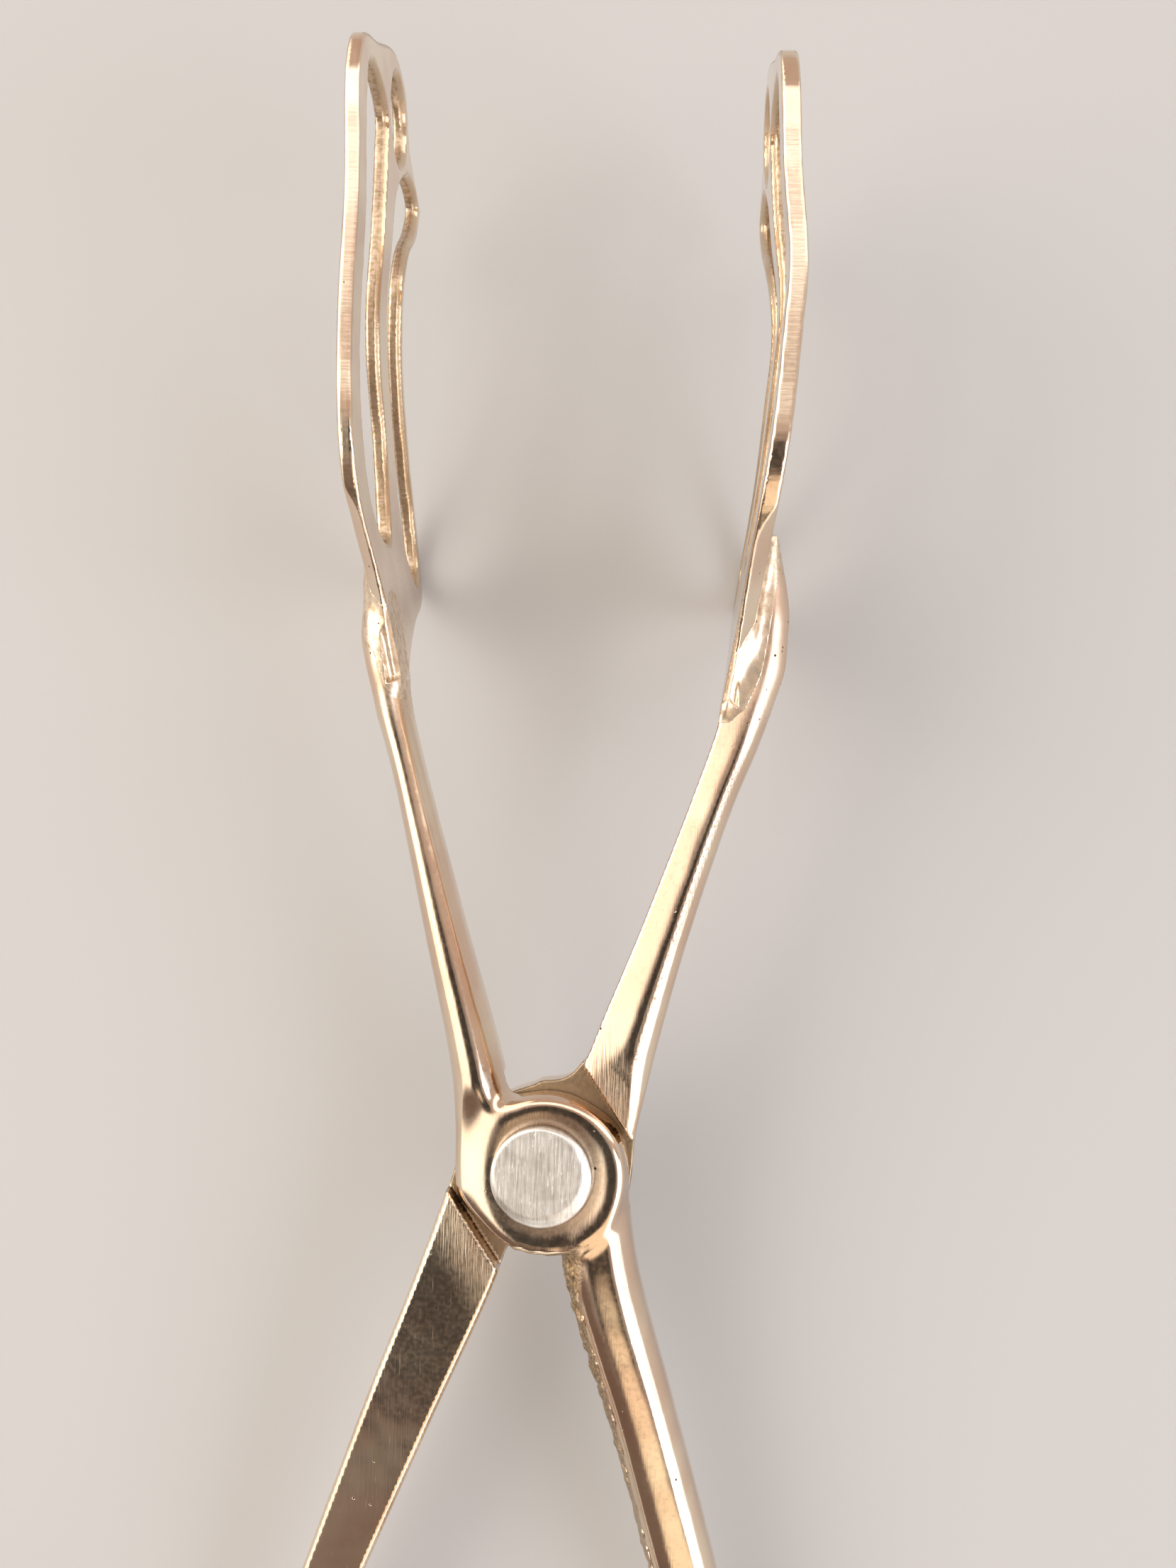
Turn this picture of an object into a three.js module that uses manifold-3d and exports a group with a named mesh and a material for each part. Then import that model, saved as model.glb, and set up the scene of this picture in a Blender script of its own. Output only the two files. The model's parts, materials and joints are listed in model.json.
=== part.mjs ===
// Scissor-action tongs in cast bronze: two levers crossed in a half-lap joint on one rivet,
// with a pierced plate jaw brazed to the end of each arm.
//
// Millimetres, +Z up.  The pieces are drawn in the tool's own frame: the pivot axis is Z at the origin,
// the jaws reach to +Y, and the two levers meet on the plane Z = 0.  At the end the whole tool is tipped
// about X, so that it lies on the bellies of its jaws and on its finger rings, and is set on Z = 0.
//
// Both levers are the same kind of casting, flat on one side and rounded on the other.  The lower lever
// has its flat side up; the upper lever is one that is turned over about Y, so its round side is up.

import * as THREE from 'three';
import { mergeVertices } from 'three/addons/utils/BufferGeometryUtils.js';
import Module from 'manifold-3d';

const wasm = await Module();
wasm.setup();

// ---- driving dimensions ----------------------------------------------------------------------

const GAP = 0.3;                 // clearance between faces that touch on the real tool

const FLAT_Z = 2.2;              // flat side of a lever, above the half-lap plane
const FLAT_CHAMFER = 0.4;        // bevel along both edges of the flat side
const ROUND_START_Z = 0.4;       // where a lever's side walls turn into its round side

const SHOULDER_DISTANCE = 9.3;   // from the pivot to the two walls of the half-lap channel
const ARM_TO_CHANNEL = 52.3;     // angle from a lever's own arm to its channel

const EYE_RADIUS = 8.3;          // the round boss around the rivet
const EYE_DEPTH = 4.2;           // its rim, from the half-lap plane
const EYE_DISH_DEPTH = 3.5;      // its dished face, from the half-lap plane
const EYE_DISH_RADIUS = 5.8;     // where the dished face meets the rounded rim
const EYE_RIM_START = 215;       // the angle, in degrees, at which the rim's round leaves the dished face

const RIVET_HEAD_RADIUS = 5.05;
const RIVET_HEAD_TOP = 5.0;
const RIVET_SHANK_RADIUS = 3.0;
const RIVET_CHAMFER = 0.35;

const RING_HOLE_RADIUS = 11.5;   // finger opening
const RING_WIDTH = 4.4;          // of the ring's section, in plan
const RING_STRETCH = 1.12;       // the rings are a little longer than they are wide
const RING_OFFSET = 9.5;         // of a ring's centre outwards from the handle's line

const BRAZE_THICKNESS = 0.4;
const BRAZE_HALF_HEIGHT = 3.0;
const BRAZE_LENGTH = 11;
const BRAZE_INSET = 0.5;         // of the braze from the end of the blade's tongue
const BLADE_START = 49.0;        // Y of the left blade's tongue, where its outline begins
const BLADE_END = 117.5;
const SEAT_REACH = 12;           // how far a blade's seat clears the arm on the inner side

// Cutting tools reach well past whatever they cut.
const HOLE_TOOL_LENGTH = 20;
const CHANNEL_TOOL_LENGTH = 60;
const CHANNEL_TOOL_HEIGHT = 10;
const RIBBON_HALF_HEIGHT = 40;
const PIERCING_HALF_DEPTH = 30;
const TOOL_SPAN = 200;

// Fineness of the curves.
const RIBBON_STEP = 2.6;         // along the blades' curve in plan
const FACE_SAMPLES = 200;
const OUTLINE_STEPS = 3;         // per point of a blade's outline and of its openings
const ARM_STEPS = 22;
const HANDLE_STEPS = 14;
const ROUND_STEPS = 8;           // across a lever's round side
const EYE_RIM_STEPS = 7;
const EYE_SEGMENTS = 48;
const HOLE_SEGMENTS = 32;
const RING_SEGMENTS = 44;
const RIVET_SEGMENTS = 40;

// A lever's stations: where its centre line runs in plan, how wide it is there, and how deep its
// round side reaches below the half-lap plane.  The arm runs to +X +Y and the handle to -X -Y.
const lowerArm = [
  { x: 5.0, y: -2.0, width: 6.6, depth: 3.8 },
  { x: 5.9, y: 4.0, width: 6.4, depth: 3.8 },
  { x: 7.5, y: 10.7, width: 6.2, depth: 3.7 },
  { x: 11.5, y: 23.8, width: 5.0, depth: 3.3 },
  { x: 16.3, y: 38.2, width: 4.3, depth: 2.9 },
  { x: 18.7, y: 45.0, width: 4.7, depth: 3.3 },
  { x: 20.5, y: 52.0, width: 5.4, depth: 4.0 },
  { x: 21.2, y: 57.5, width: 4.4, depth: 3.8 },
  { x: 21.5, y: 64.0, width: 1.6, depth: 1.4 },
];
const lowerHandle = [
  { x: -4.6, y: 1.5, width: 7.4, depth: 3.8 },
  { x: -8.15, y: -9.45, width: 7.9, depth: 3.8 },
  { x: -14.05, y: -24.8, width: 7.0, depth: 3.4 },
  { x: -20.25, y: -41.2, width: 5.95, depth: 2.9 },
  { x: -26.2, y: -57.0, width: 5.0, depth: 2.4 },
  { x: -31.5, y: -71.0, width: 4.6, depth: 2.2 },
];
const upperArm = [
  { x: 5.6, y: -1.5, width: 6.8, depth: 3.8 },
  { x: 6.3, y: 4.5, width: 6.0, depth: 3.8 },
  { x: 7.2, y: 10.0, width: 5.3, depth: 3.7 },
  { x: 10.95, y: 24.2, width: 4.2, depth: 3.3 },
  { x: 15.2, y: 40.4, width: 3.3, depth: 2.9 },
  { x: 17.0, y: 47.0, width: 3.6, depth: 3.2 },
  { x: 18.2, y: 53.5, width: 4.2, depth: 3.8 },
  { x: 18.8, y: 58.0, width: 2.8, depth: 3.0 },
  { x: 19.4, y: 62.5, width: 1.4, depth: 1.4 },
];
const upperHandle = [
  { x: -4.6, y: 2.0, width: 7.2, depth: 3.8 },
  { x: -6.1, y: -10.0, width: 7.4, depth: 3.8 },
  { x: -10.7, y: -24.9, width: 6.8, depth: 3.4 },
  { x: -15.3, y: -40.4, width: 6.6, depth: 3.1 },
  { x: -20.3, y: -57.0, width: 5.4, depth: 2.5 },
  { x: -24.6, y: -71.0, width: 4.6, depth: 2.0 },
];

// Each jaw: the inner face of its blade in plan, from its tongue to its tip, which way is outward,
// and how far its outline is shifted along Y, because the two were fitted by hand.
const leftJaw = {
  outward: -1,
  thickness: 1.5,
  shift: 0,
  face: [
    [-14.9, 45], [-17.2, 57.9], [-18.5, 65.2], [-19.2, 75], [-19.4, 85], [-19.1, 95], [-19.3, 105],
    [-19.5, 118],
  ],
};
const rightJaw = {
  outward: 1,
  thickness: 1.8,
  shift: -1.6,
  face: [
    [16.3, 45], [18.0, 56], [19.2, 64.5], [20.4, 73.5], [21.1, 82], [21.5, 88.5], [20.7, 97.5], [20.2, 108],
    [19.9, 118],
  ],
};

// A blade seen from its flat side: [Y, Z].  The outline is three smooth runs that meet in the corner
// at the tip's lower edge and in the horn; the two long slots and the round hole go right through.
const bladeTop = [
  [49.0, 2.4], [55, 4.2], [61, 7.6], [67, 11.8], [72.5, 13.6], [80, 13.7], [100, 13.7], [107, 13.7],
  [110.9, 11.0], [113.2, 4.5], [116.0, -2.5], [116.6, -7.0], [115.0, -11.8], [110.2, -14.4],
];
const bladeHorn = [[110.2, -14.4], [108.2, -17.8], [106.2, -22.2]];
const bladeLower = [
  [106.2, -22.2], [102.0, -19.6], [98.0, -14.4], [93.6, -12.1], [88.5, -12.9], [82.5, -15.6], [75.0, -19.6],
  [69.5, -22.7], [64.0, -23.6], [60.0, -21.0], [56.6, -13.0], [52.2, -5.6], [49.0, -2.8],
];
const upperSlot = [
  [110.0, 4.6], [108.0, -1.0], [104.0, -0.8], [96.0, 0.7], [89.5, 1.0], [83.0, -0.3], [76.0, -3.6],
  [69.5, -4.8], [64.6, -4.2], [64.2, 0.5], [67.5, 5.5], [76.0, 8.6], [88.0, 9.2], [104.0, 9.6], [109.0, 8.6],
];
const lowerSlot = [
  [106.8, -14.5], [105.6, -19.8], [102.4, -17.8], [98.2, -12.7], [93.8, -10.4], [89.0, -11.2], [82.5, -13.8],
  [75.2, -17.6], [69.8, -20.7], [64.3, -21.6], [61.8, -19.2], [63.6, -15.4], [70.0, -11.6], [77.5, -8.4],
  [84.0, -5.4], [90.0, -3.6], [96.5, -4.6], [102.0, -7.0],
];
const TIP_HOLE = { y: 110.4, z: -7.4, radius: 4.4, sides: 24 };
// The two places that touch the surface which the tool lies on.
const BELLY = { y: 63.6, z: -23.6 };                // the lowest stretch of each blade
const RING_REST = { y: -94, z: -FLAT_Z };           // the underside of each finger ring

const bronze = { color: 0xb9997a, roughness: 0.25, metalness: 1.0 };
const paleBronze = { color: 0xc8ab8d, roughness: 0.22, metalness: 1.0 };
const brazeMetal = { color: 0xa98a5c, roughness: 0.5, metalness: 1.0 };
const aluminium = { color: 0xc3c2c0, roughness: 0.4, metalness: 1.0 };

// ---- solids ----------------------------------------------------------------------------------

function toSolid(geometry) {
  const bare = new THREE.BufferGeometry();
  bare.setAttribute('position', geometry.attributes.position);
  if (geometry.index) bare.setIndex(geometry.index);
  const merged = mergeVertices(bare, 1e-4);
  return new wasm.Manifold(new wasm.Mesh({
    numProp: 3,
    vertProperties: new Float32Array(merged.attributes.position.array),
    triVerts: new Uint32Array(merged.index.array),
  }));
}

function toGeometry(solid) {
  const mesh = solid.getMesh();
  const geometry = new THREE.BufferGeometry();
  geometry.setAttribute('position', new THREE.BufferAttribute(new Float32Array(mesh.vertProperties), 3));
  geometry.setIndex(new THREE.BufferAttribute(new Uint32Array(mesh.triVerts), 1));
  geometry.computeVertexNormals();
  return geometry;
}

// Section of a lever, counter-clockwise: flat side at FLAT_Z, straight walls, a half-ellipse below.
function leverSection(width, depth) {
  const half = width / 2;
  const section = [
    [half, FLAT_Z - FLAT_CHAMFER], [half - FLAT_CHAMFER, FLAT_Z],
    [-half + FLAT_CHAMFER, FLAT_Z], [-half, FLAT_Z - FLAT_CHAMFER],
  ];
  for (let i = 0; i <= ROUND_STEPS; i += 1) {
    const angle = Math.PI + (Math.PI * i) / ROUND_STEPS;
    section.push([half * Math.cos(angle), ROUND_START_Z + (depth + ROUND_START_Z) * Math.sin(angle)]);
  }
  return section;
}

// A solid lofted along a centre line in plan, through smoothly joined stations.
function loft(stations, steps) {
  const path = new THREE.CatmullRomCurve3(stations.map((s) => new THREE.Vector3(s.x, s.y, 0)));
  const size = new THREE.CatmullRomCurve3(stations.map((s) => new THREE.Vector3(s.width, s.depth, 0)));
  const positions = [];
  const index = [];
  let count = 0;
  for (let i = 0; i <= steps; i += 1) {
    const at = path.getPoint(i / steps);
    const along = path.getTangent(i / steps);
    const { x: width, y: depth } = size.getPoint(i / steps);
    const section = leverSection(width, depth);
    count = section.length;
    for (const [u, z] of section) positions.push(at.x + u * along.y, at.y - u * along.x, z);
  }
  for (let i = 0; i < steps; i += 1) {
    for (let j = 0; j < count; j += 1) {
      const a = i * count + j;
      const b = i * count + ((j + 1) % count);
      index.push(a, a + count, b, b, a + count, b + count);
    }
  }
  const last = steps * count;
  for (let j = 1; j < count - 1; j += 1) {
    index.push(0, j, j + 1);
    index.push(last, last + j + 1, last + j);
  }
  const geometry = new THREE.BufferGeometry();
  geometry.setAttribute('position', new THREE.Float32BufferAttribute(positions, 3));
  geometry.setIndex(index);
  return toSolid(geometry);
}

// A solid of revolution about Z; the profile is [radius, Z].
function revolve(profile, segments) {
  const geometry = new THREE.LatheGeometry(profile.map(([r, z]) => new THREE.Vector2(r, z)), segments);
  geometry.rotateX(Math.PI / 2);
  return toSolid(geometry);
}

// The points of an arc between two angles in degrees, both ends included.
function arc(centre, radius, from, to, steps) {
  return Array.from({ length: steps + 1 }, (_, i) => {
    const angle = THREE.MathUtils.degToRad(from + ((to - from) * i) / steps);
    return [centre[0] + radius * Math.cos(angle), centre[1] + radius * Math.sin(angle)];
  });
}

// ---- levers ----------------------------------------------------------------------------------

// The boss around the rivet: full depth up to the flat side, with a rounded rim and a dished face below.
function eye() {
  const rim = (EYE_RADIUS - EYE_DISH_RADIUS) / 2;
  return revolve([
    [0, -EYE_DISH_DEPTH],
    ...arc([EYE_RADIUS - rim, rim - EYE_DEPTH], rim, EYE_RIM_START, 360, EYE_RIM_STEPS),
    [EYE_RADIUS, FLAT_Z],
    [0, FLAT_Z],
  ], EYE_SEGMENTS);
}

// A finger ring with the lever's own section, outboard of the handle's end.
function fingerRing(handle) {
  const end = handle[handle.length - 1];
  const before = handle[handle.length - 2];
  const along = new THREE.Vector2(end.x - before.x, end.y - before.y).normalize();
  const outward = new THREE.Vector2(along.y, -along.x);
  const middle = RING_HOLE_RADIUS + RING_WIDTH / 2;
  const ahead = Math.sqrt(middle ** 2 - RING_OFFSET ** 2) * RING_STRETCH;
  const section = leverSection(RING_WIDTH, end.depth).map(([u, z]) => [middle + u, z]);
  const profile = [...section, section[0]].map(([r, z]) => new THREE.Vector2(r, z));
  const geometry = new THREE.LatheGeometry(profile, RING_SEGMENTS);
  geometry.rotateX(Math.PI / 2);
  geometry.scale(RING_STRETCH, 1, 1);
  geometry.rotateZ(Math.atan2(along.y, along.x));
  geometry.translate(
    end.x + along.x * ahead + outward.x * RING_OFFSET, end.y + along.y * ahead + outward.y * RING_OFFSET, 0);
  return toSolid(geometry);
}

// A box seen in plan as a long strip whose normal is at the given angle from +X.
function lapChannel(angle) {
  const geometry = new THREE.BoxGeometry(2 * SHOULDER_DISTANCE, CHANNEL_TOOL_LENGTH, CHANNEL_TOOL_HEIGHT);
  geometry.rotateZ(THREE.MathUtils.degToRad(angle));
  geometry.translate(0, 0, CHANNEL_TOOL_HEIGHT / 2 - GAP / 2);
  return toSolid(geometry);
}

// How far a lever's arm leans from +Y towards +X, in degrees, on its straight stretch.
function armLean(arm) {
  const [, , root, , neck] = arm;
  return THREE.MathUtils.radToDeg(Math.atan2(neck.x - root.x, neck.y - root.y));
}

function lever(arm, handle) {
  const radius = RIVET_SHANK_RADIUS + GAP;
  const drill = new THREE.CylinderGeometry(radius, radius, HOLE_TOOL_LENGTH, HOLE_SEGMENTS);
  const hole = toSolid(drill.rotateX(Math.PI / 2));
  return loft(arm, ARM_STEPS)
    .add(loft(handle, HANDLE_STEPS))
    .add(fingerRing(handle))
    .add(eye())
    .subtract(lapChannel(ARM_TO_CHANNEL - armLean(arm)))
    .subtract(hole);
}

// ---- blades ----------------------------------------------------------------------------------

// A point on a blade's inner face in plan, at a given Y.
function facePoint(fine, y) {
  const next = Math.max(1, fine.findIndex((p) => p.y >= y));
  const before = fine[next - 1];
  const after = fine[next];
  return before.clone().lerp(after, (y - before.y) / (after.y - before.y));
}

// A strip between two offsets outwards from a jaw's inner face, over a length of it, full height.
function ribbon({ face, outward }, from, to, yStart, yEnd) {
  const curve = new THREE.SplineCurve(face.map(([x, y]) => new THREE.Vector2(x, y)));
  const fine = curve.getPoints(FACE_SAMPLES);
  const steps = Math.ceil((yEnd - yStart) / RIBBON_STEP);
  const stepLength = (yEnd - yStart) / steps;
  const points = Array.from({ length: steps + 1 }, (_, i) => facePoint(fine, yStart + stepLength * i));
  const offset = (distance) => points.map((p, i) => {
    const a = points[Math.max(i - 1, 0)];
    const b = points[Math.min(i + 1, steps)];
    const along = b.clone().sub(a).normalize();
    return new THREE.Vector2(p.x + outward * along.y * distance, p.y - outward * along.x * distance);
  });
  const shape = new THREE.Shape([...offset(from), ...offset(to).reverse()]);
  const geometry = new THREE.ExtrudeGeometry(shape, { depth: 2 * RIBBON_HALF_HEIGHT, bevelEnabled: false });
  geometry.translate(0, 0, -RIBBON_HALF_HEIGHT);
  return toSolid(geometry);
}

// The pierced outline of a blade, extruded along X.
function pierced(shift) {
  const at = ([y, z]) => new THREE.Vector2(y, z);
  const outline = new THREE.Shape();
  outline.moveTo(...bladeTop[0]);
  outline.splineThru(bladeTop.slice(1).map(at));
  outline.splineThru(bladeHorn.slice(1).map(at));
  outline.splineThru(bladeLower.slice(1).map(at));
  outline.closePath();
  // The outline runs clockwise, so its openings run the other way round.
  for (const slot of [upperSlot, lowerSlot]) {
    const loop = new THREE.CatmullRomCurve3(slot.map(([y, z]) => new THREE.Vector3(y, z, 0)), true);
    const points = loop.getPoints(OUTLINE_STEPS * slot.length).slice(0, -1);
    outline.holes.push(new THREE.Path(points.reverse().map((p) => new THREE.Vector2(p.x, p.y))));
  }
  const rim = arc([TIP_HOLE.y, TIP_HOLE.z], TIP_HOLE.radius, 0, 360, TIP_HOLE.sides).slice(0, -1);
  outline.holes.push(new THREE.Path(rim.map(at)));
  const geometry = new THREE.ExtrudeGeometry(outline, {
    depth: 2 * PIERCING_HALF_DEPTH,
    bevelEnabled: false,
    curveSegments: OUTLINE_STEPS,
  });
  const alongX = new THREE.Matrix4().makeBasis(
    new THREE.Vector3(0, 1, 0), new THREE.Vector3(0, 0, 1), new THREE.Vector3(1, 0, 0));
  geometry.applyMatrix4(alongX);
  geometry.translate(-PIERCING_HALF_DEPTH, shift, 0);
  return toSolid(geometry);
}

function blade(jaw) {
  const plate = ribbon(jaw, 0, jaw.thickness, BLADE_START - RIBBON_STEP + jaw.shift, BLADE_END);
  return plate.intersect(pierced(jaw.shift));
}

// The pocket in an arm that its blade and the braze fill, and everything inboard of it.
function bladeSeat(jaw) {
  const depth = jaw.thickness + BRAZE_THICKNESS + 2 * GAP;
  return ribbon(jaw, -SEAT_REACH, depth, BLADE_START - GAP + jaw.shift, BLADE_END);
}

// The layer of braze between the back of a blade's tongue and the arm's heel.
function braze(jaw) {
  const inner = jaw.thickness + GAP;
  const yStart = BLADE_START + BRAZE_INSET + jaw.shift;
  const strip = ribbon(jaw, inner, inner + BRAZE_THICKNESS, yStart, yStart + BRAZE_LENGTH);
  const band = toSolid(new THREE.BoxGeometry(TOOL_SPAN, 2 * TOOL_SPAN, 2 * BRAZE_HALF_HEIGHT));
  return strip.intersect(band);
}

// ---- rivet -----------------------------------------------------------------------------------

function rivet() {
  const headBase = EYE_DISH_DEPTH + GAP;
  return revolve([
    [0, -RIVET_HEAD_TOP],
    [RIVET_HEAD_RADIUS - RIVET_CHAMFER, -RIVET_HEAD_TOP],
    [RIVET_HEAD_RADIUS, -RIVET_HEAD_TOP + RIVET_CHAMFER],
    [RIVET_HEAD_RADIUS, -headBase],
    [RIVET_SHANK_RADIUS, -headBase],
    [RIVET_SHANK_RADIUS, headBase],
    [RIVET_HEAD_RADIUS, headBase],
    [RIVET_HEAD_RADIUS, RIVET_HEAD_TOP - RIVET_CHAMFER],
    [RIVET_HEAD_RADIUS - RIVET_CHAMFER, RIVET_HEAD_TOP],
    [0, RIVET_HEAD_TOP],
  ], RIVET_SEGMENTS);
}

// ---- assembly --------------------------------------------------------------------------------

function piece(name, solid, finish) {
  const mesh = new THREE.Mesh(toGeometry(solid), new THREE.MeshStandardMaterial(finish));
  mesh.name = name;
  return mesh;
}

// Turns a solid over about Y, from flat side up to round side up.
function turnOver(solid) {
  return toSolid(toGeometry(solid).rotateY(Math.PI));
}

const tool = new THREE.Group();
tool.add(
  piece('lower_lever', lever(lowerArm, lowerHandle).subtract(bladeSeat(rightJaw)), bronze),
  piece('upper_lever', turnOver(lever(upperArm, upperHandle)).subtract(bladeSeat(leftJaw)), bronze),
  piece('right_blade', blade(rightJaw), paleBronze),
  piece('left_blade', blade(leftJaw), paleBronze),
  piece('right_blade_braze', braze(rightJaw), brazeMetal),
  piece('left_blade_braze', braze(leftJaw), brazeMetal),
  piece('pivot_rivet', rivet(), aluminium),
);

// Tipped so that the jaws' bellies and the finger rings touch the same level surface, with the origin
// under the middle of the whole tool.
tool.rotation.x = Math.atan2(RING_REST.z - BELLY.z, BELLY.y - RING_REST.y);
tool.updateMatrixWorld(true);
const box = new THREE.Box3().setFromObject(tool, true);
tool.position.set(-(box.min.x + box.max.x) / 2, -(box.min.y + box.max.y) / 2, -box.min.z);

const part = new THREE.Group();
part.add(tool);

export default part;
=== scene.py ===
"""Scissor-action tongs in cast bronze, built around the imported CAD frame.

The fine surfaces are implicit: each piece is a field that is negative inside the metal, and
surface_mesh() turns it into a quad mesh.  Fields work in millimetres in the tool's own frame: the
pivot axis is Z at the origin, the jaws reach to +Y and the two levers meet on the plane Z = 0.  The
frame's joint says where that is.
"""

import json
import math

import bpy
import numpy as np
from mathutils import Matrix, Vector


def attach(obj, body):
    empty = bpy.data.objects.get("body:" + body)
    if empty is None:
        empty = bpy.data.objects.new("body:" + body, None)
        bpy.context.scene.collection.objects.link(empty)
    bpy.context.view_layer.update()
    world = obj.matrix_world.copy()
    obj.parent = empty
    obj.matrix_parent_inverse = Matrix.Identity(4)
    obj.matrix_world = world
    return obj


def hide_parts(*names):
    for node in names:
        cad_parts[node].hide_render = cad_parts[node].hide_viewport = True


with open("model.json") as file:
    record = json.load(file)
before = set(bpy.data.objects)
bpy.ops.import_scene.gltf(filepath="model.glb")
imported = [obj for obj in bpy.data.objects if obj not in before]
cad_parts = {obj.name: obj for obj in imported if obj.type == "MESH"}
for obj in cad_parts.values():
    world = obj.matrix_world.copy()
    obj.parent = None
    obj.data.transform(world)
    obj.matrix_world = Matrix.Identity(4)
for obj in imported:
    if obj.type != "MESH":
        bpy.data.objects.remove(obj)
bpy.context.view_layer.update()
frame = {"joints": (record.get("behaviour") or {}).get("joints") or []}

MM = 0.001

# ---- driving dimensions, in millimetres ----------------------------------------------------------

LAP_GAP = 0.05              # half the gap between the two lapped faces
FLAT_Z = 2.2                # flat side of a lever, from the lap plane
FLAT_CHAMFER = 0.42
ROUND_START_Z = 0.4         # where a lever's side walls turn into its round side
SHOULDER_DISTANCE = 9.3     # from the pivot to the walls of the lap channel
ARM_TO_CHANNEL = 52.3       # degrees

EYE_DEPTH = 3.95
EYE_DISH_DEPTH = 3.62       # at the rivet's edge; from there the eye's face slopes up to its rim
EYE_DISH_SLOPE = 0.24
EYE_FALL_SLOPE = 0.38       # beside the arm the eye's face falls away instead, on a plane
EYE_FALL_HEIGHT = 4.0       # of that plane, at the rivet's edge
EYE_RIM_ROUND = 2.0
EYE_TOP_Z = 0.6             # the boss goes this far past the lap plane, before the lap is cut
EYE_FILLET = 3.2            # between an eye and its arm
EYE_CREASE = 1.9            # between an eye and its handle
WEB_CENTRE, WEB_RADIUS = (2.9, 6.3), 4.1    # the web in the corner between the lower arm and its eye
WEB_HOLLOW_CENTRE, WEB_HOLLOW_RADIUS = (-0.6, 15.3), 6.7

RIVET_RADIUS = 5.05
RIVET_TOP = 5.0
RIVET_SHANK_RADIUS = 3.0
RIVET_FACE_CENTRE, RIVET_FACE_RADIUS = (-0.3, 0.45), 4.4
RIVET_BEVEL_SLOPE = 0.42
RIVET_SEGMENTS = 160

RING_HOLE_RADIUS = 11.5
RING_WIDTH = 4.4
RING_STRETCH = 1.12
RING_OFFSET = 9.5

# A lever's stations: x, y, width, and depth of its round side below the lap plane.
LOWER_ARM = [
    (5.0, -2.0, 6.8, 3.8), (5.8, 4.0, 6.8, 3.8), (7.4, 10.7, 6.6, 3.7), (11.5, 23.8, 5.0, 3.3),
    (16.3, 38.2, 4.3, 2.9), (18.7, 45.0, 4.7, 3.3), (20.5, 52.0, 5.4, 4.0), (21.2, 57.5, 4.4, 3.8),
    (21.5, 64.0, 1.6, 1.4),
]
LOWER_HANDLE = [
    (-4.35, 2.45, 7.5, 3.8), (-8.05, -9.45, 7.8, 3.8), (-14.05, -24.8, 7.0, 3.4),
    (-20.25, -41.2, 5.95, 2.9), (-26.2, -57.0, 5.0, 2.4), (-31.5, -71.0, 4.6, 2.2),
]
UPPER_ARM = [
    (5.6, -1.5, 6.8, 4.0), (6.3, 4.5, 6.0, 4.0), (7.2, 10.0, 5.3, 3.9), (10.95, 24.2, 4.2, 3.4),
    (15.2, 40.4, 3.3, 2.9), (17.0, 47.0, 3.6, 3.2), (18.2, 53.5, 4.2, 3.8), (18.8, 58.0, 2.8, 3.0),
    (19.4, 62.5, 1.4, 1.4),
]
UPPER_HANDLE = [
    (-4.6, 2.0, 7.2, 3.8), (-6.1, -10.0, 7.4, 3.8), (-10.7, -24.9, 6.8, 3.4), (-15.3, -40.4, 6.6, 3.1),
    (-20.3, -57.0, 5.4, 2.5), (-24.6, -71.0, 4.6, 2.0),
]

# A blade's inner face in plan, x and y.
LEFT_FACE = [
    (-14.9, 45), (-17.2, 57.9), (-18.5, 65.2), (-19.2, 75), (-19.4, 85), (-19.1, 95), (-19.3, 105),
    (-19.5, 118),
]
RIGHT_FACE = [
    (16.3, 45), (18.0, 56), (19.2, 64.5), (20.4, 73.5), (21.1, 82), (21.5, 88.5), (20.7, 97.5),
    (20.2, 108), (19.9, 118),
]

# A blade from its flat side, y and z.
BLADE_TOP = [
    (49.0, 2.4), (55, 4.2), (61, 7.6), (67, 11.8), (72.5, 13.6), (80, 13.7), (93, 13.72), (100, 13.8),
    (104, 13.86), (107.3, 13.45), (110.9, 11.0), (113.2, 4.5), (116.0, -2.5), (116.6, -7.0),
    (115.0, -11.8), (110.2, -14.4),
]
BLADE_HORN = [(110.2, -14.4), (108.2, -17.8), (106.2, -22.2)]
BLADE_LOWER = [
    (106.2, -22.2), (102.0, -19.6), (98.0, -14.4), (93.6, -12.1), (88.5, -12.9), (82.5, -15.6),
    (75.0, -19.6), (69.5, -22.7), (64.0, -23.6), (60.0, -21.0), (56.6, -13.0), (52.2, -5.6),
    (49.0, -2.8),
]
UPPER_SLOT = [
    (110.0, 4.6), (108.0, -1.0), (104.0, -0.8), (96.0, 0.7), (89.5, 1.0), (83.0, -0.3), (76.0, -3.6),
    (69.5, -4.8), (64.6, -4.2), (64.2, 0.5), (67.5, 5.5), (76.0, 8.6), (88.0, 9.2), (104.0, 9.6),
    (109.0, 8.6),
]
LOWER_SLOT = [
    (106.8, -14.5), (105.6, -19.8), (102.4, -17.8), (98.2, -12.7), (93.8, -10.4), (89.0, -11.2),
    (82.5, -13.8), (75.2, -17.6), (69.8, -20.7), (64.3, -21.6), (61.8, -19.2), (63.6, -15.4),
    (70.0, -11.6), (77.5, -8.4), (84.0, -5.4), (90.0, -3.6), (96.5, -4.6), (102.0, -7.0),
]
TIP_HOLE_CENTRE = (110.4, -7.4)
TIP_HOLE_RADIUS = 4.4

LEVER_STEP = 0.3            # fineness of the meshes
BLADE_STEP = 0.26
BRAZE_STEP = 0.2


# ---- the tool's frame ----------------------------------------------------------------------------

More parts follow.
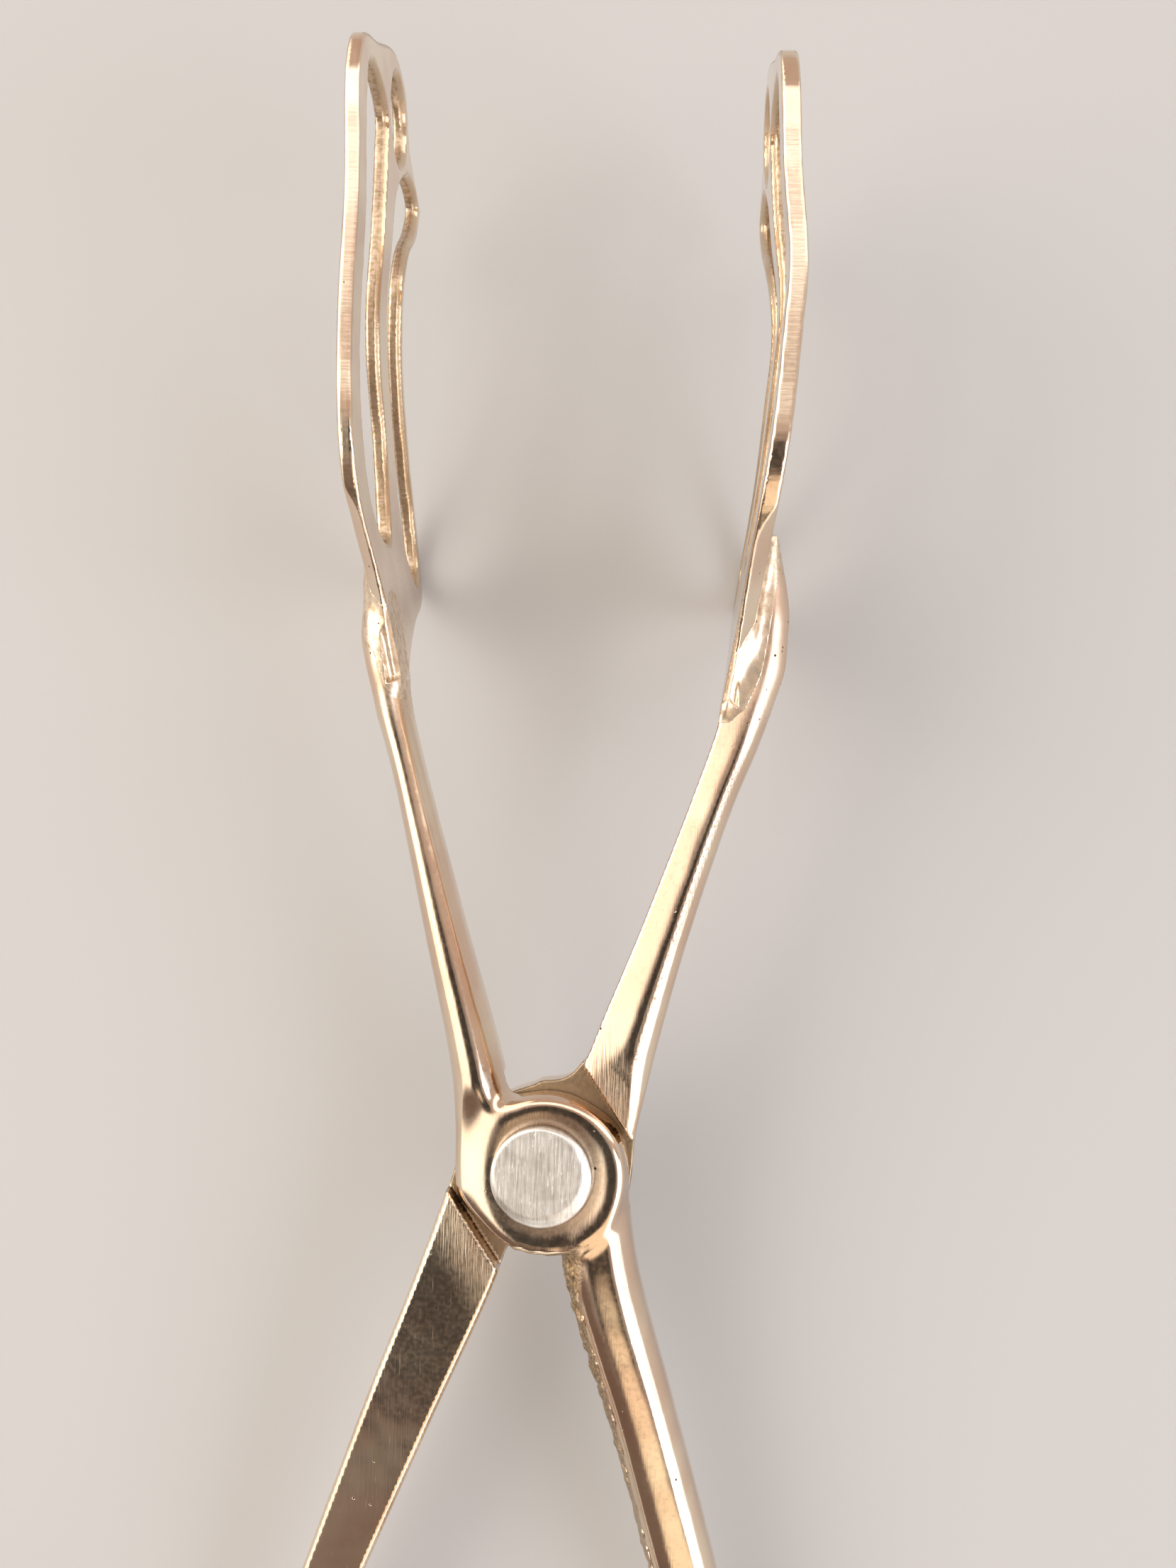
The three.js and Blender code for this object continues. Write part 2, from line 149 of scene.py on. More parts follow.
def tool_matrix():
    """The tool's frame in the row frame, in metres: its origin and Z are the joint's point and axis."""
    joint = frame["joints"][0]
    z_axis = Vector(joint["axis"]).normalized()
    x_axis = Vector((1, 0, 0))
    y_axis = z_axis.cross(x_axis)
    rotation = Matrix((x_axis, y_axis, z_axis)).transposed().to_4x4()
    return Matrix.Translation(joint["pos_m"]) @ rotation


TOOL = tool_matrix()


# ---- fields --------------------------------------------------------------------------------------

def smooth_max(a, b, radius):
    """The larger of two fields, with their meeting rounded over about radius."""
    h = np.maximum(radius - np.abs(a - b), 0) / radius
    return np.maximum(a, b) + h * h * h * radius / 6


def smooth_min(a, b, radius):
    return -smooth_max(-a, -b, radius)


def chamfer_max(a, b, size, radius):
    """The larger of two fields, with a chamfer of that size between them."""
    return smooth_max(smooth_max(a, b, radius), (a + b + size) * math.sqrt(0.5), radius)


def ramp(x, start, end):
    """0 before start, 1 after end, smooth in between."""
    t = np.clip((x - start) / (end - start), 0, 1)
    return t * t * (3 - 2 * t)


def value_noise(p, scale, seed):
    """Smooth noise from -1 to 1 with lumps of about that scale."""
    q = p / scale
    cell = np.floor(q).astype(np.int64)
    f = q - cell
    f = f * f * (3 - 2 * f)
    total = np.zeros(len(p))
    for corner in range(8):
        step = np.array([corner & 1, (corner >> 1) & 1, corner >> 2])
        key = (cell + step) @ np.array([73856093, 19349663, 83492791]) + seed * 2654435761
        key = (key ^ (key >> 13)) * 1274126177 & 0xFFFFFFFF
        key = (key ^ (key >> 16)) & 0xFFFF
        weight = np.prod(np.where(step == 1, f, 1 - f), axis=1)
        total += weight * (key / 32767.5 - 1)
    return total


def curve_points(points, per_span, closed=False, alpha=0.5):
    """A Catmull-Rom curve through points: alpha 0.5 is centripetal and 0 is uniform."""
    p = np.array(points, float)
    if closed:
        p = np.vstack([p[-1:], p, p[:2]])
    else:
        p = np.vstack([2 * p[0] - p[1], p, 2 * p[-1] - p[-2]])
    out = []
    for a, b, c, d in zip(p[:-3], p[1:-2], p[2:-1], p[3:]):
        k1, k2, k3 = (max(np.linalg.norm(v), 1e-9) ** alpha for v in (b - a, c - b, d - c))
        slope_b = (b - a) / k1 - (c - a) / (k1 + k2) + (c - b) / k2
        slope_c = (c - b) / k2 - (d - b) / (k2 + k3) + (d - c) / k3
        t = np.linspace(0, 1, per_span, endpoint=False)[:, None]
        out.append(
            (2 * t**3 - 3 * t**2 + 1) * b + (t**3 - 2 * t**2 + t) * slope_b * k2
            + (3 * t**2 - 2 * t**3) * c + (t**3 - t**2) * slope_c * k2
        )
    if not closed:
        out.append(p[-2:-1])
    return np.vstack(out)


class Path:
    """A centre line in plan that runs steadily along Y, with other values carried along it."""

    def __init__(self, rows, per_span=12):
        samples = curve_points(rows, per_span)
        self.xy = samples[:, :2]
        self.carried = samples[:, 2:]
        run = np.diff(self.xy, axis=0)
        lengths = np.linalg.norm(run, axis=1)
        self.s = np.concatenate([[0], np.cumsum(lengths)])
        tangent = np.gradient(self.xy, self.s, axis=0)
        self.tangent = tangent / np.linalg.norm(tangent, axis=1)[:, None]
        order = np.argsort(self.xy[:, 1])
        self.y_sorted, self.s_sorted = self.xy[order, 1], self.s[order]

    def column(self, table, s):
        out = np.empty((len(s), table.shape[1]))
        for i in range(table.shape[1]):
            out[:, i] = np.interp(s, self.s, table[:, i])
        return out

    def foot(self, p):
        """For each point: distance to the right of the line, distance past its ends, carried values."""
        s = np.interp(p[:, 1], self.y_sorted, self.s_sorted)
        for _ in range(4):
            away = p[:, :2] - self.column(self.xy, s)
            s = np.clip(s + np.sum(away * self.column(self.tangent, s), axis=1), 0, self.s[-1])
        away = p[:, :2] - self.column(self.xy, s)
        tangent = self.column(self.tangent, s)
        right = away[:, 0] * tangent[:, 1] - away[:, 1] * tangent[:, 0]
        past = np.abs(np.sum(away * tangent, axis=1))
        past[(s > 0) & (s < self.s[-1])] = 0
        return right, past, self.column(self.carried, s)


def half_round(u, z, half, depth):
    """A lever's section: straight walls above ROUND_START_Z, and half an ellipse below it."""
    w = np.minimum(z - ROUND_START_Z, 0)
    b = depth + ROUND_START_Z
    k0 = np.hypot(u / half, w / b)
    k1 = np.hypot(u / half**2, w / b**2)
    return k0 * (k0 - 1) / np.maximum(k1, 1e-6)


class Plane2D:
    """Signed distance to a closed outline on a fine grid, negative inside."""

    def __init__(self, loop, step=0.1, margin=3.0):
        self.step = step
        self.low = loop.min(0) - margin
        counts = np.ceil((loop.max(0) + margin - self.low) / step).astype(int) + 1
        ys = self.low[0] + np.arange(counts[0]) * step
        zs = self.low[1] + np.arange(counts[1]) * step
        y, z = np.meshgrid(ys, zs, indexing="ij")
        nearest = np.full(y.shape, 1e9)
        inside = np.zeros(y.shape, bool)
        for a, b in zip(loop, np.roll(loop, -1, axis=0)):
            edge = b - a
            t = np.clip(((y - a[0]) * edge[0] + (z - a[1]) * edge[1]) / (edge @ edge), 0, 1)
            away = (y - a[0] - t * edge[0]) ** 2 + (z - a[1] - t * edge[1]) ** 2
            np.minimum(nearest, away, out=nearest)
            if a[1] != b[1]:
                crosses = ((z >= a[1]) != (z >= b[1])) & (y < a[0] + (z - a[1]) * edge[0] / edge[1])
                inside ^= crosses
        self.values = np.where(inside, -1, 1) * np.sqrt(nearest)

    def at(self, y, z):
        gy = np.clip((y - self.low[0]) / self.step, 0, self.values.shape[0] - 1.001)
        gz = np.clip((z - self.low[1]) / self.step, 0, self.values.shape[1] - 1.001)
        i, j = gy.astype(int), gz.astype(int)
        f, g = gy - i, gz - j
        v = self.values
        low = v[i, j] * (1 - f) + v[i + 1, j] * f
        high = v[i, j + 1] * (1 - f) + v[i + 1, j + 1] * f
        return low * (1 - g) + high * g


# ---- meshes --------------------------------------------------------------------------------------

def gradient(field, p, h=0.02):
    g = np.empty_like(p)
    for axis in range(3):
        step = np.zeros(3)
        step[axis] = h
        g[:, axis] = (field(p + step) - field(p - step)) / (2 * h)
    return g


def settle(field, p, furthest):
    """Moves points onto the field's zero surface, by at most that much."""
    g = gradient(field, p)
    move = -(field(p) / np.maximum(np.sum(g * g, axis=1), 0.05))[:, None] * g
    length = np.linalg.norm(move, axis=1, keepdims=True)
    return p + move * np.minimum(1, furthest / np.maximum(length, 1e-9))


def sample_grid(field, low, counts, step, block=8, slack=1.7):
    """The field at every grid point near its surface, and a large value of the same sign elsewhere."""
    blocks = -(-counts // block)
    axes = [low[i] + (np.arange(blocks[i]) + 0.5) * block * step - step / 2 for i in range(3)]
    centres = np.stack(np.meshgrid(*axes, indexing="ij"), axis=-1).reshape(-1, 3)
    at_centres = field(centres)
    reach = slack * block * step * math.sqrt(3) / 2
    values = np.repeat(np.sign(at_centres) * 1e3, block**3).reshape(-1, block, block, block)
    near = np.nonzero(np.abs(at_centres) < reach)[0]
    offsets = np.stack(np.meshgrid(*[np.arange(block)] * 3, indexing="ij"), axis=-1).reshape(-1, 3)
    corners = np.stack(np.unravel_index(near, blocks), axis=1) * block
    for part in np.array_split(np.arange(len(near)), max(1, len(near) // 400)):
        points = low + (corners[part][:, None, :] + offsets[None]).reshape(-1, 3) * step
        values[near[part]] = field(points).reshape(-1, block, block, block)
    values = values.reshape(*blocks, block, block, block).transpose(0, 3, 1, 4, 2, 5)
    return values.reshape(blocks * block)


def largest_part(quads):
    """The quads of the largest connected part of a mesh."""
    corners, numbered = np.unique(quads, return_inverse=True)
    numbered = numbered.reshape(-1, 4)
    label, spread = None, np.arange(len(corners))
    while not np.array_equal(label, spread):
        label, spread = spread, spread.copy()
        lowest = label[numbered].min(axis=1)
        for corner in range(4):
            np.minimum.at(spread, numbered[:, corner], lowest)
        spread = spread[spread]
    part = label[numbered[:, 0]]
    parts, sizes = np.unique(part, return_counts=True)
    return quads[part == parts[sizes.argmax()]]


def neighbour_sum(ends, points):
    """For each point, the sum of the points at the far ends of the edges that start at it."""
    far = points[ends[:, 1]]
    return np.stack([np.bincount(ends[:, 0], far[:, k], len(points)) for k in range(3)], axis=1)


def surface_mesh(field, low, high, step, relax=3):
    """Points, quads and normals of a field's zero surface inside a box: surface nets, settled on it."""
    low = np.array(low, float)
    counts = np.ceil((np.array(high, float) - low) / step).astype(int) + 1
    v = sample_grid(field, low, counts, step)
    shape = np.array(v.shape)
    inside = v < 0
    total = np.zeros((int(np.prod(shape)), 3))
    hits = np.zeros(int(np.prod(shape)))
    quads = []
    strides = np.array([shape[1] * shape[2], shape[2], 1])
    for axis in range(3):
        here = [slice(1, -1)] * 3
        there = [slice(1, -1)] * 3
        there[axis] = slice(2, None)
        a, b = inside[tuple(here)], inside[tuple(there)]
        index = np.argwhere(a != b) + 1
        start = v[tuple(index.T)]
        step_on = index.copy()
        step_on[:, axis] += 1
        end = v[tuple(step_on.T)]
        crossing = index.astype(float)
        crossing[:, axis] += start / (start - end)
        one, two = [i for i in range(3) if i != axis]
        cell = index @ strides
        around = [cell, cell - strides[one], cell - strides[one] - strides[two], cell - strides[two]]
        for c in around:
            for k in range(3):
                total[:, k] += np.bincount(c, crossing[:, k], len(hits))
            hits += np.bincount(c, minlength=len(hits))
        ring = np.stack(around, axis=1)
        outward = (start < 0) ^ (axis == 1)
        quads.append(np.where(outward[:, None], ring, ring[:, ::-1]))
    quads = largest_part(np.vstack(quads))
    used, quads = np.unique(quads, return_inverse=True)
    quads = quads.reshape(-1, 4)
    points = low + total[used] / hits[used][:, None] * step
    points = settle(field, points, step)
    ends = np.vstack([quads[:, [0, 1]], quads[:, [1, 2]], quads[:, [2, 3]], quads[:, [3, 0]]])
    for _ in range(relax):
        mean = neighbour_sum(ends, points) + neighbour_sum(ends[:, ::-1], points)
        count = np.bincount(ends.ravel(), minlength=len(points))[:, None]
        points = settle(field, points * 0.5 + 0.5 * mean / count, step / 2)
    points = settle(field, points, step / 2)
    normals = gradient(field, points)
    return points, quads, normals / np.linalg.norm(normals, axis=1)[:, None]


def add_mesh(name, points, faces, normals, attributes, material, body, replaced):
    """A piece from points in the tool's frame, riding on a body and standing for a CAD node."""
    mesh = bpy.data.meshes.new(name)
    rotation = np.array(TOOL.to_3x3())
    placed = (np.array(points) * MM) @ rotation.T + np.array(TOOL.translation)
    mesh.from_pydata(placed.tolist(), [], [list(face) for face in faces])
    mesh.shade_smooth()
    if normals is not None:
        mesh.normals_split_custom_set_from_vertices((normals @ rotation.T).tolist())
    for key, values in attributes.items():
        attribute = mesh.attributes.new(key, "FLOAT", "POINT")
        attribute.data.foreach_set("value", np.asarray(values, np.float32))
    place = mesh.attributes.new("tool_mm", "FLOAT_VECTOR", "POINT")
    place.data.foreach_set("vector", np.asarray(points, np.float32).ravel())
    mesh.materials.append(material)
    piece = bpy.data.objects.new(name, mesh)
    bpy.context.scene.collection.objects.link(piece)
    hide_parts(replaced)
    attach(piece, body)


# ---- levers --------------------------------------------------------------------------------------

CROWN_Z = 2.7               # top of the lower lever's arm, which is rounded over on its outer side
CROWN_ROUND_FROM = -0.4     # Z where that rounding starts
FACET_TILT = math.radians(12)
FACET_RIDGE = -0.05         # where the facet ends, as a share of half the arm's width
CROWN_SHARE = 0.16          # width of the flat crown beyond the ridge, as a share of half the arm's width
SHOULDER_FILING = 0.10      # slope of the flat filed beside the shoulder
ARM_CROWN_FLAT, HANDLE_CROWN_FLAT = 0.04, 0.32      # how far the upper lever's crown is flattened
FLASH_WIDTH = 0.95          # rough band left by the mould's parting line, on the upper handle's inner edge
FLASH_START_Y, FLASH_END_Y = -6.0, -66.0
FLASH_NARROW, FLASH_NARROW_Y = 0.62, (-40, -12)     # its width at the ring's end, and where it changes
EYE_FLASH_Y = (-5.6, -6.8)              # the rough edge under the upper eye: where it starts and is full,
EYE_FLASH_X, EYE_FLASH_HALF = -0.5, (3.0, 4.2)      # its middle, and half its width, full and faded
HEEL_Y, HEEL_LUMPS = (43, 50), 0.1      # where a lever turns uneven, and by how much
ARM_SEAM, HANDLE_SEAM = 0.42, 0.17      # unpolished lines between two facets, as shares of half the width
ARM_SEAM_Y = (46, 40)                   # where the arm's line has faded out, and where it is full
HANDLE_SEAM_Y = (46, 70)                # the same for the handle's, which only shows towards the ring
EDGE_LUMPS, EDGE_LUMPS_FINE = 0.2, 0.14     # of the rough edges, and of the finer ones on top of them


class Lever:
    """One casting.  Its fields are drawn flat side up, with the arm to +X and the handle to -X, and
    turn lays it as it is used."""

    def __init__(self, arm, handle, turn, eye_centre, eye_radius, faceted):
        self.arm, self.handle = Path(arm), Path(handle)
        self.turn = np.array([turn, 1, turn])
        self.eye_centre, self.eye_radius = np.array(eye_centre), eye_radius
        self.faceted = faceted
        lean = math.atan2(arm[4][0] - arm[2][0], arm[4][1] - arm[2][1])
        self.channel = math.radians(ARM_TO_CHANNEL) - lean
        end, before = np.array(handle[-1]), np.array(handle[-2])
        along = (end - before)[:2]
        self.ring_along = along / np.linalg.norm(along)
        self.ring_out = np.array([self.ring_along[1], -self.ring_along[0]])
        middle = RING_HOLE_RADIUS + RING_WIDTH / 2
        ahead = math.sqrt(middle**2 - RING_OFFSET**2) * RING_STRETCH
        self.ring_centre = end[:2] + self.ring_along * ahead + self.ring_out * RING_OFFSET
        self.ring_middle, self.ring_depth = middle, end[3]

    def across_channel(self, q):
        return q[:, 0] * math.cos(self.channel) + q[:, 1] * math.sin(self.channel)

    def ring(self, q):
        away = q[:, :2] - self.ring_centre
        a = away @ self.ring_along / RING_STRETCH
        b = away @ self.ring_out
        return half_round(np.hypot(a, b) - self.ring_middle, q[:, 2], RING_WIDTH / 2, self.ring_depth)

    def from_eye(self, q):
        return np.linalg.norm(q[:, :2] - self.eye_centre, axis=1)

    def down_fall(self, q):
        """Distance down the plane that the eye's face falls away on, from the rivet's edge."""
        return q[:, 0] - RIVET_RADIUS

    def eye(self, q):
        wall = self.from_eye(q) - self.eye_radius
        if self.faceted:
            web = np.linalg.norm(q[:, :2] - WEB_CENTRE, axis=1) - WEB_RADIUS
            hollow = WEB_HOLLOW_RADIUS - np.linalg.norm(q[:, :2] - WEB_HOLLOW_CENTRE, axis=1)
            wall = smooth_min(wall, smooth_max(web, hollow, 0.6), 2.0)
        else:
            wall += self.eye_flash(q) * (EDGE_LUMPS * value_noise(q, 0.9, 5) - 0.05)
        boss = smooth_max(wall, -q[:, 2] - EYE_DEPTH, EYE_RIM_ROUND)
        return np.maximum(boss, q[:, 2] - EYE_TOP_Z)

    def eye_flash(self, q):
        """The rough edge left under the upper eye, between the two handles."""
        off_middle = np.abs(q[:, 0] - EYE_FLASH_X)
        return ramp(q[:, 1], *EYE_FLASH_Y) * ramp(off_middle, EYE_FLASH_HALF[1], EYE_FLASH_HALF[0])

    def arm_field(self, q):
        u, past, carried = self.arm.foot(q)
        z, half, depth = q[:, 2], carried[:, 0] / 2, carried[:, 1]
        lumps = ramp(q[:, 1], *HEEL_Y) * HEEL_LUMPS * value_noise(q, 3.0, 7)
        sides = half_round(np.hypot(u, past), z, half, depth) + lumps
        if not self.faceted:
            return smooth_max(sides, -z - depth + ARM_CROWN_FLAT, 0.4)
        ridge = FACET_RIDGE * half
        across = self.across_channel(q)
        crown_end = ridge + CROWN_SHARE * half
        run = half * (1.03 + 0.2 * ramp(across, 16, 10)) - crown_end
        over = np.maximum(u - crown_end, 0) / run
        rise = CROWN_Z - CROWN_ROUND_FROM
        w = np.maximum(z - CROWN_ROUND_FROM, 0)
        k0 = np.hypot(over, w / rise)
        k1 = np.hypot(over / run, w / rise**2)
        dome = np.where(k0 > 0, k0 * (k0 - 1) / np.maximum(k1, 1e-9), -1.5)
        facet = (z - CROWN_Z + 0.06) * math.cos(FACET_TILT) - (u - ridge) * math.sin(FACET_TILT)
        filed = z - FLAT_Z - SHOULDER_FILING * (across - SHOULDER_DISTANCE)
        top = smooth_max(smooth_max(dome, facet, 0.22), filed, 0.15)
        return smooth_max(sides, top + lumps, 0.35)

    def handle_field(self, q):
        u, past, carried = self.handle.foot(q)
        z, half, depth = q[:, 2], carried[:, 0] / 2, carried[:, 1]
        body = half_round(np.hypot(u, past), z, half, depth)
        if self.faceted:
            return body
        body = smooth_max(body, -z - depth + HANDLE_CROWN_FLAT, 0.5)
        rough = EDGE_LUMPS * value_noise(q, 1.0, 3) + EDGE_LUMPS_FINE * value_noise(q, 0.55, 4) - 0.08
        return body + self.flash_band(q, u, half) * rough

    def flash_band(self, q, u, half):
        """1 on the unpolished flank of the upper handle's inner side."""
        width = FLASH_WIDTH * self.flash_share(q)
        band = ramp(u + half, width + 0.12, width - 0.12) * ramp(u + half, -0.9, -0.4)
        outside_eye = ramp(self.from_eye(q), self.eye_radius - 0.5, self.eye_radius)
        return self.flash_share(q) * band * outside_eye * ramp(q[:, 2], 0.9, 0.3)

    def flash_share(self, q):
        y = q[:, 1]
        ends = ramp(y, FLASH_START_Y + 1.5, FLASH_START_Y) * ramp(y, FLASH_END_Y, FLASH_END_Y + 8)
        return ends * (FLASH_NARROW + (1 - FLASH_NARROW) * ramp(y, *FLASH_NARROW_Y))

    def field(self, p):
        q = p * self.turn
        z = q[:, 2]
        radius = np.hypot(q[:, 0], q[:, 1])
        handle = smooth_min(self.handle_field(q), self.ring(q), 1.6)
        handle = chamfer_max(handle, z - FLAT_Z, FLAT_CHAMFER, 0.14)
        arm = self.arm_field(q)
        if not self.faceted:
            arm = chamfer_max(arm, z - FLAT_Z, FLAT_CHAMFER, 0.2)
        body = smooth_min(smooth_min(arm, self.eye(q), EYE_FILLET), handle, EYE_CREASE)
        dish = -z - EYE_DISH_DEPTH - EYE_DISH_SLOPE * (radius - RIVET_RADIUS)
        outwards = np.maximum(radius - self.eye_radius + 0.8, 0)
        fall = -z - EYE_FALL_HEIGHT + EYE_FALL_SLOPE * self.down_fall(q) - 0.1 * outwards**2
        body = smooth_max(smooth_max(body, dish, 0.7), fall, 2.0)
        across = self.across_channel(q)
        channel = smooth_min(SHOULDER_DISTANCE - np.abs(across), z + LAP_GAP, 0.3)
        body = smooth_max(body, channel, 0.3)
        return smooth_max(body, RIVET_SHANK_RADIUS + 0.02 - radius, 0.1)

    def zones(self, p):
        """Where each finish is, from 0 to 1."""
        q = p * self.turn
        z = q[:, 2]
        across = np.abs(self.across_channel(q))
        radius = np.hypot(q[:, 0], q[:, 1])
        lapped = ramp(across, SHOULDER_DISTANCE + 0.05, SHOULDER_DISTANCE - 0.1) * ramp(z, -0.5, -0.15)
        dish = ramp(radius, 6.5, 5.7) * ramp(-z, 3.2, 3.5) * ramp(self.down_fall(q), 0.8, -1.2)
        beside = ramp(across, SHOULDER_DISTANCE + 6, SHOULDER_DISTANCE + 0.5) * ramp(z, FLAT_Z - 0.1, FLAT_Z)
        zones = {"matte": lapped, "satin": dish, "brushed": beside, "pitted": ramp(q[:, 1], 42, 49)}
        path, side, share = (self.arm, 1, ARM_SEAM) if self.faceted else (self.handle, -1, HANDLE_SEAM)
        u, _, carried = path.foot(q)
        half = carried[:, 0] / 2
        zones["seam"] = ramp(np.abs(u - share * half), 0.34, 0.1) * ramp(z * side, 0.6, 1.2)
        along = side * q[:, 1]
        seam_y = ARM_SEAM_Y if self.faceted else HANDLE_SEAM_Y
        zones["seam"] *= ramp(along, 9, 12) * ramp(along, *seam_y)
        zones["flash"] = np.zeros(len(p))
        if not self.faceted:
            under_eye = self.eye_flash(q) * ramp(self.from_eye(q), 7.5, 7.9)
            zones["flash"] = np.maximum(self.flash_band(q, u, half), under_eye)
        return zones


LEVERS = {
    "lower": Lever(
        LOWER_ARM, LOWER_HANDLE, turn=1, eye_centre=(0, 0), eye_radius=8.3, faceted=True,
    ),
    "upper": Lever(
        UPPER_ARM, UPPER_HANDLE, turn=-1, eye_centre=(-0.35, -0.15), eye_radius=8.05, faceted=False,
    ),
}


# ---- jaws ----------------------------------------------------------------------------------------

BLADE_START = 49.0          # where the blade's outline begins, on the left jaw
NECK_BEVEL_EDGE = 0.4       # thickness left at the neck's top edge
NECK_START_Y, NECK_END_Y = 74.0, 64.0
KNIFE_EDGE, KNIFE_HEEL = 0.2, 0.7       # chamfer of the inner face along the outline, and at the heel's top
SLOT_BEVEL = 0.6            # bevel of the inner face along the openings
OUTER_CHAMFER, OUTER_SLOT_CHAMFER = 0.24, 0.22      # the same two edges of the outer face
PLATE_WAVE, PLATE_WAVE_LENGTH = 0.05, 11.0          # how uneven the plate is
JAW_MARGIN = 3.5            # room on both sides of the inner face's curve, for the meshes' boxes


def outline_field():
    """Distance to a blade's outer edge, and distance into its openings."""
    runs = [curve_points(run, 8, alpha=0)[:-1] for run in (BLADE_TOP, BLADE_HORN, BLADE_LOWER)]
    outer = Plane2D(np.vstack(runs))
    slots = [Plane2D(curve_points(loop, 8, closed=True)) for loop in (UPPER_SLOT, LOWER_SLOT)]

    def at(y, z):
        hole = TIP_HOLE_RADIUS - np.hypot(y - TIP_HOLE_CENTRE[0], z - TIP_HOLE_CENTRE[1])
        into = np.maximum(-slots[0].at(y, z), -slots[1].at(y, z))
        return outer.at(y, z), np.maximum(into, hole)

    return at


OUTLINE = outline_field()


class Jaw:
    """A pierced plate on edge: a strip of even thickness along a curve in plan, cut to the outline."""

    def __init__(self, face, outward, thickness, shift, seed):
        self.path = Path(face)
        face_x = [x for x, _ in face]
        self.span_x = min(face_x) - JAW_MARGIN, max(face_x) + JAW_MARGIN
        self.outward, self.thickness, self.shift, self.seed = outward, thickness, shift, seed

    def depth(self, p):
        """Distance outwards from the inner face."""
        right, _, _ = self.path.foot(p)
        return right * self.outward

    def field(self, p):
        y, z = p[:, 1] - self.shift, p[:, 2]
        into = self.depth(p) + PLATE_WAVE * value_noise(p, PLATE_WAVE_LENGTH, self.seed)
        edge, opening = OUTLINE(y, z)
        inner, outer = -into, into - self.thickness
        knife = KNIFE_EDGE + (KNIFE_HEEL - KNIFE_EDGE) * ramp(y, 62, 52) * ramp(z, -1.5, 1.5)
        plate = chamfer_max(inner, edge, knife, 0.12)
        plate = np.maximum(plate, chamfer_max(outer, edge, OUTER_CHAMFER, 0.14))
        slot_bevel = SLOT_BEVEL * (0.75 + 0.25 * ramp(y, 85, 100))
        plate = np.maximum(plate, chamfer_max(inner, opening, slot_bevel, 0.08))
        plate = np.maximum(plate, chamfer_max(outer, opening, OUTER_SLOT_CHAMFER, 0.12))
        neck = ramp(y, NECK_START_Y, NECK_END_Y) * ramp(z, -1.5, 1.5)
        bevel = (into - NECK_BEVEL_EDGE + edge) * 0.7 - 3 * (1 - neck)
        return smooth_max(plate, bevel, 0.3)

    def seat(self, p):
        """Negative in the pocket of the arm that this blade fills, and inboard of it."""
        start = BLADE_START + self.shift - 0.05
        return -np.minimum(self.thickness - self.depth(p), p[:, 1] - start)

    def zones(self, p):
        y, z = p[:, 1] - self.shift, p[:, 2]
        edge, opening = OUTLINE(y, z)
        wall = ramp(opening, -0.32, -0.12)
        bevel = ramp(opening, -0.6, -0.45) * ramp(self.depth(p), SLOT_BEVEL, SLOT_BEVEL - 0.15)
        rim = ramp(edge, -0.3, -0.12)
        return {"filed": wall, "bevel": bevel, "rim": rim, "pitted": ramp(y, 66, 58)}


JAWS = {
    "left": Jaw(LEFT_FACE, outward=-1, thickness=1.5, shift=0.0, seed=11),
    "right": Jaw(RIGHT_FACE, outward=1, thickness=1.8, shift=-1.6, seed=12),
}
BRAZE_FILLET = 3.0
BRAZE_UNDER = 0.03          # how far below the heel's and the blade's surfaces its edge lies
BRAZE_SINK, BRAZE_REACH = 0.5, 1.6      # how deep into them it goes, and how far from either one


def lever_with_seat(lever, jaw):
    def field(p):
        return smooth_max(lever.field(p), -jaw.seat(p), 0.1)

    return field


def braze_field(lever, jaw):
    """The fillet between the heel and the blade: it starts just under both surfaces and stands out
    where they meet."""
    casting = lever_with_seat(lever, jaw)

    def field(p):
        heel, blade = casting(p), jaw.field(p)
        rough = 0.02 * value_noise(p, 0.9, 21) + 0.05 * value_noise(p, 2.8, 22)
        skin = smooth_min(heel, blade, BRAZE_FILLET) + BRAZE_UNDER + rough
        inside = -np.minimum(heel, blade) - BRAZE_SINK
        near = np.maximum(heel, blade) - BRAZE_REACH
        behind = 0.02 - jaw.depth(p)
        return np.maximum(np.maximum(skin, inside), np.maximum(near, behind))

    return field


# ---- the rivet -----------------------------------------------------------------------------------

# Radii of the rings of points on a head's face, closer together over the worn bevel.
RIVET_FACE_RINGS = (1.0, 2.0, 3.0, 3.6, 3.8, 4.0, 4.2, 4.4, 4.6, 4.75, 4.85, 4.95, 5.02, RIVET_RADIUS)
RIVET_WOBBLE = 0.04         # how far the rim is from round


def rivet_top(x, y):
    """Height of a head's face: flat, with a worn bevel round an off-centre circle, and a rounded rim."""
    past_face = np.hypot(x - RIVET_FACE_CENTRE[0], y - RIVET_FACE_CENTRE[1]) - RIVET_FACE_RADIUS
    to_rim = RIVET_RADIUS - np.hypot(x, y)
    rounded = np.maximum(0.3 - to_rim, 0)
    return RIVET_TOP - RIVET_BEVEL_SLOPE * np.maximum(past_face, 0) - rounded**2 * 1.6


